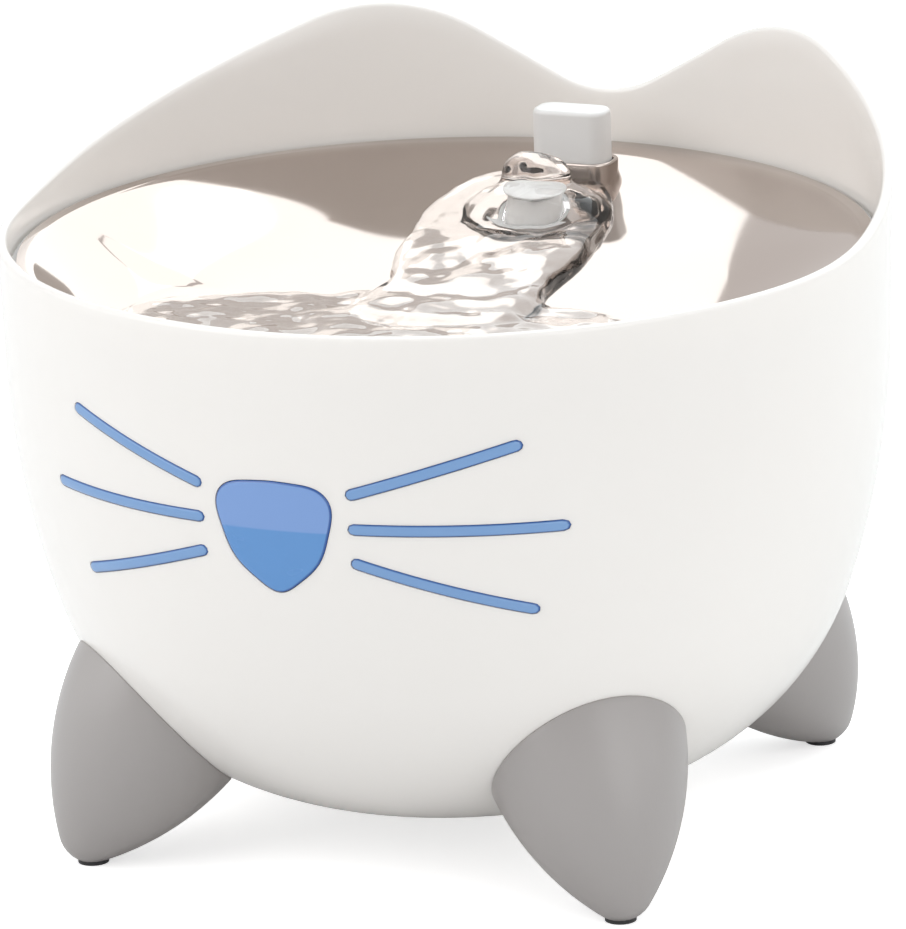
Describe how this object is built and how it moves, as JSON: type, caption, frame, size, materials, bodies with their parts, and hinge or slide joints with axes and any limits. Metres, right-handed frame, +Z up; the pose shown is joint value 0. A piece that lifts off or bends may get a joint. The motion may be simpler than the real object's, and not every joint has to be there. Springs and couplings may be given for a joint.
{
  "type": "pet water fountain",
  "caption": "Eared bowl on cone feet with a lift-out steel drinking dish, level float, nozzle, filter cartridge and magnet-driven pump.",
  "frame": {"origin": "on the floor under the middle of the bowl, level with the foot pads", "axes": "+Z up, -Y towards the nose, +X to the right when looking along +Y"},
  "size_m": [0.252, 0.2521, 0.207],
  "materials": {
    "white_shell": "glossy moulded",
    "grey_foot": "satin moulded",
    "blue_lens": "glossy translucent",
    "blue_inlay": "glossy inlay",
    "steel_dish": "polished",
    "white_fitting": "satin moulded",
    "dark_rubber": "matte",
    "dark_housing": "fine texture",
    "magnet": "ground ferrite",
    "ceramic": "polished ceramic",
    "impeller_plastic": "moulded",
    "bush": "matte",
    "filter_fleece": "fleece",
    "circuit_board": "solder resist",
    "lamp": "clear epoxy"
  },
  "bodies": {
    "root": {"bowl": "white_shell", "foot_front_left": "grey_foot", "foot_front_right": "grey_foot", "foot_rear_left": "grey_foot", "foot_rear_right": "grey_foot", "foot_pads": "dark_rubber", "nose_lens": "blue_lens", "nose_seal": "dark_rubber", "light_pod": "white_fitting", "light_board": "circuit_board", "light_lamp": "lamp", "whiskers_left": "blue_inlay", "whiskers_right": "blue_inlay", "dish_seal": "dark_rubber", "riser_tube": "white_fitting", "pump_housing": "dark_housing", "pump_cover": "dark_housing", "pump_shaft": "ceramic", "shaft_bushes": "bush", "suction_cups": "dark_rubber", "pump_chamber": "white_fitting", "power_post": "dark_housing", "post_seal": "dark_rubber", "inlet_housing": "dark_housing"},
    "dish": {"dish": "steel_dish", "float_guide": "steel_dish", "nozzle_gasket": "dark_rubber"},
    "nozzle": {"nozzle_tube": "white_fitting", "nozzle_cap": "white_fitting"},
    "level_float": {"float_block": "white_fitting", "float_body": "white_fitting"},
    "filter": {"filter_frame": "grey_foot", "filter_pad": "filter_fleece"},
    "rotor": {"impeller": "impeller_plastic", "rotor_magnet": "magnet"}
  },
  "joints": [
    {"name": "dish_lift", "type": "slide", "parent": "root", "child": "dish", "axis": [0, 0, 1], "range_m": [0, 0.1]},
    {"name": "nozzle_lift", "type": "slide", "parent": "dish", "child": "nozzle", "axis": [0, 0, 1], "range_m": [0, 0.03]},
    {"name": "float_rise", "type": "slide", "parent": "dish", "child": "level_float", "axis": [0, 0, 1], "range_m": [-0.014, 0]},
    {"name": "filter_slide", "type": "slide", "parent": "root", "child": "filter", "axis": [0, 0, 1], "range_m": [0, 0.055]},
    {"name": "impeller_spin", "type": "hinge", "parent": "root", "child": "rotor", "pos_m": [0, 0.067, 0.046], "axis": [0, 1, 0], "continuous": true}
  ]
}
